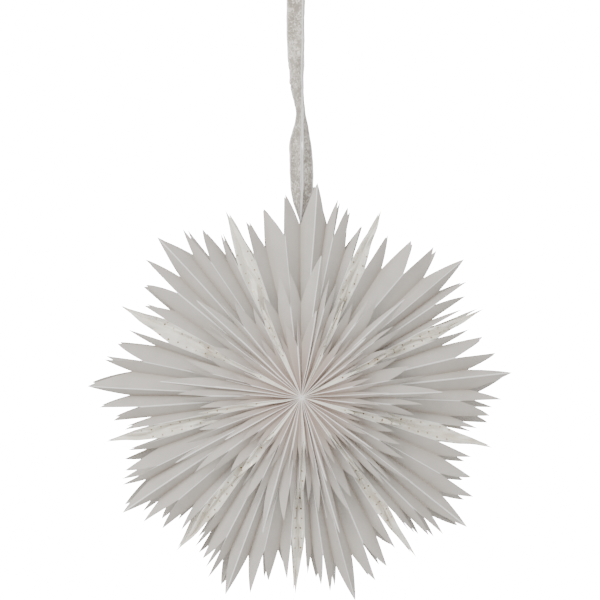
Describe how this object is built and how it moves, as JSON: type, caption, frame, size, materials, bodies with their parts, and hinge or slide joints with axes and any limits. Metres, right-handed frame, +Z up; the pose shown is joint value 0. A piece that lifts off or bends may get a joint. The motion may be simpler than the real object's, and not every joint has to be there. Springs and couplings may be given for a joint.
{
  "type": "folding paper star ornament",
  "caption": "Hanging folded-paper star: fans of pleated leaves in three tiers on both faces, dotted vellum leaves between, on a velvet ribbon loop; folds flat.",
  "frame": {"origin": "inside top of the ribbon loop, where a hook carries the star", "axes": "+Z up; the star's axis runs along Y, its front faces -Y; +X to the right seen from the front"},
  "size_m": [0.4505, 0.144, 0.6993],
  "materials": {
    "folded_paper": "matte light warm grey paper with soft tooth",
    "spine_paper": "matte light warm grey paper",
    "closing_card": "matte light grey card",
    "dotted_vellum": "pearl cream vellum with small gold dots",
    "velvet_ribbon": "crushed velvet, silvery grey beige"
  },
  "bodies": {
    "closing_end_right": {"closing_panel_right": "closing_card", "ribbon_loop": "velvet_ribbon"},
    "leaf_1": {"spine_leaf_1": "spine_paper", "inner_gusset_right_1": "folded_paper", "outer_gusset_right_1": "folded_paper", "dotted_leaf_1": "dotted_vellum", "closing_gusset_right": "folded_paper"},
    "leaf_2": {"spine_leaf_2": "spine_paper", "inner_gusset_right_2": "folded_paper", "outer_gusset_right_2": "folded_paper", "dotted_leaf_2": "dotted_vellum", "outer_gusset_left_2": "folded_paper", "inner_gusset_left_2": "folded_paper"},
    "leaf_3": {"spine_leaf_3": "spine_paper", "inner_gusset_right_3": "folded_paper", "outer_gusset_right_3": "folded_paper", "dotted_leaf_3": "dotted_vellum", "outer_gusset_left_3": "folded_paper", "inner_gusset_left_3": "folded_paper"},
    "leaf_4": {"spine_leaf_4": "spine_paper", "inner_gusset_right_4": "folded_paper", "outer_gusset_right_4": "folded_paper", "dotted_leaf_4": "dotted_vellum", "outer_gusset_left_4": "folded_paper", "inner_gusset_left_4": "folded_paper"},
    "leaf_5": {"spine_leaf_5": "spine_paper", "inner_gusset_right_5": "folded_paper", "outer_gusset_right_5": "folded_paper", "dotted_leaf_5": "dotted_vellum", "outer_gusset_left_5": "folded_paper", "inner_gusset_left_5": "folded_paper"},
    "leaf_6": {"spine_leaf_6": "spine_paper", "inner_gusset_right_6": "folded_paper", "outer_gusset_right_6": "folded_paper", "dotted_leaf_6": "dotted_vellum", "outer_gusset_left_6": "folded_paper", "inner_gusset_left_6": "folded_paper"},
    "leaf_7": {"spine_leaf_7": "spine_paper", "inner_gusset_right_7": "folded_paper", "outer_gusset_right_7": "folded_paper", "dotted_leaf_7": "dotted_vellum", "outer_gusset_left_7": "folded_paper", "inner_gusset_left_7": "folded_paper"},
    "leaf_8": {"spine_leaf_8": "spine_paper", "inner_gusset_right_8": "folded_paper", "outer_gusset_right_8": "folded_paper", "dotted_leaf_8": "dotted_vellum", "outer_gusset_left_8": "folded_paper", "inner_gusset_left_8": "folded_paper"},
    "leaf_9": {"spine_leaf_9": "spine_paper", "inner_gusset_right_9": "folded_paper", "outer_gusset_right_9": "folded_paper", "dotted_leaf_9": "dotted_vellum", "outer_gusset_left_9": "folded_paper", "inner_gusset_left_9": "folded_paper"},
    "closing_end_left": {"closing_panel_left": "closing_card", "closing_gusset_left": "folded_paper", "outer_gusset_left_1": "folded_paper"}
  },
  "joints": [
    {"name": "fold_1", "type": "hinge", "parent": "closing_end_right", "child": "leaf_1", "pos_m": [0.0009, 0, -0.45657], "axis": [0, -1, 0], "range_deg": [0, 4.4], "deforming": ["closing_gusset_right"]},
    {"name": "fold_2", "type": "hinge", "parent": "leaf_1", "child": "leaf_2", "pos_m": [0.00295, 0, -0.47429], "axis": [0, -1, 0], "range_deg": [0, 45.8], "deforming": ["inner_gusset_right_1", "outer_gusset_right_1", "dotted_leaf_1", "outer_gusset_left_2", "inner_gusset_left_2"]},
    {"name": "fold_3", "type": "hinge", "parent": "leaf_2", "child": "leaf_3", "pos_m": [0.00794, 0, -0.47664], "axis": [0, -1, 0], "range_deg": [0, 33.7], "deforming": ["inner_gusset_right_2", "outer_gusset_right_2", "dotted_leaf_2", "outer_gusset_left_3", "inner_gusset_left_3"]},
    {"name": "fold_4", "type": "hinge", "parent": "leaf_3", "child": "leaf_4", "pos_m": [0.00633, 0, -0.48184], "axis": [0, -1, 0], "range_deg": [0, 44.6], "deforming": ["inner_gusset_right_3", "outer_gusset_right_3", "dotted_leaf_3", "outer_gusset_left_4", "inner_gusset_left_4"]},
    {"name": "fold_5", "type": "hinge", "parent": "leaf_4", "child": "leaf_5", "pos_m": [0.00436, 0, -0.48666], "axis": [0, -1, 0], "range_deg": [0, 36.6], "deforming": ["inner_gusset_right_4", "outer_gusset_right_4", "dotted_leaf_4", "outer_gusset_left_5", "inner_gusset_left_5"]},
    {"name": "fold_6", "type": "hinge", "parent": "leaf_5", "child": "leaf_6", "pos_m": [-0.00041, 0, -0.48819], "axis": [0, -1, 0], "range_deg": [0, 35.5], "deforming": ["inner_gusset_right_5", "outer_gusset_right_5", "dotted_leaf_5", "outer_gusset_left_6", "inner_gusset_left_6"]},
    {"name": "fold_7", "type": "hinge", "parent": "leaf_6", "child": "leaf_7", "pos_m": [-0.00505, 0, -0.48632], "axis": [0, -1, 0], "range_deg": [0, 36], "deforming": ["inner_gusset_right_6", "outer_gusset_right_6", "dotted_leaf_6", "outer_gusset_left_7", "inner_gusset_left_7"]},
    {"name": "fold_8", "type": "hinge", "parent": "leaf_7", "child": "leaf_8", "pos_m": [-0.00784, 0, -0.48217], "axis": [0, -1, 0], "range_deg": [0, 35.8], "deforming": ["inner_gusset_right_7", "outer_gusset_right_7", "dotted_leaf_7", "outer_gusset_left_8", "inner_gusset_left_8"]},
    {"name": "fold_9", "type": "hinge", "parent": "leaf_8", "child": "leaf_9", "pos_m": [-0.00587, 0, -0.47725], "axis": [0, -1, 0], "range_deg": [0, 45.4], "deforming": ["inner_gusset_right_8", "outer_gusset_right_8", "dotted_leaf_8", "outer_gusset_left_9", "inner_gusset_left_9"]},
    {"name": "fold_10", "type": "hinge", "parent": "leaf_9", "child": "closing_end_left", "pos_m": [-0.0025, 0, -0.47352], "axis": [0, -1, 0], "range_deg": [0, 42.2], "deforming": ["inner_gusset_right_9", "outer_gusset_right_9", "dotted_leaf_9", "outer_gusset_left_1", "closing_gusset_left"]}
  ],
  "couplings": [
    {"joint": "fold_1", "follows": "fold_2", "ratio": 0.09607},
    {"joint": "fold_3", "follows": "fold_2", "ratio": 0.73581},
    {"joint": "fold_4", "follows": "fold_2", "ratio": 0.9738},
    {"joint": "fold_5", "follows": "fold_2", "ratio": 0.79913},
    {"joint": "fold_6", "follows": "fold_2", "ratio": 0.77511},
    {"joint": "fold_7", "follows": "fold_2", "ratio": 0.78603},
    {"joint": "fold_8", "follows": "fold_2", "ratio": 0.78166},
    {"joint": "fold_9", "follows": "fold_2", "ratio": 0.99127},
    {"joint": "fold_10", "follows": "fold_2", "ratio": 0.9214}
  ]
}
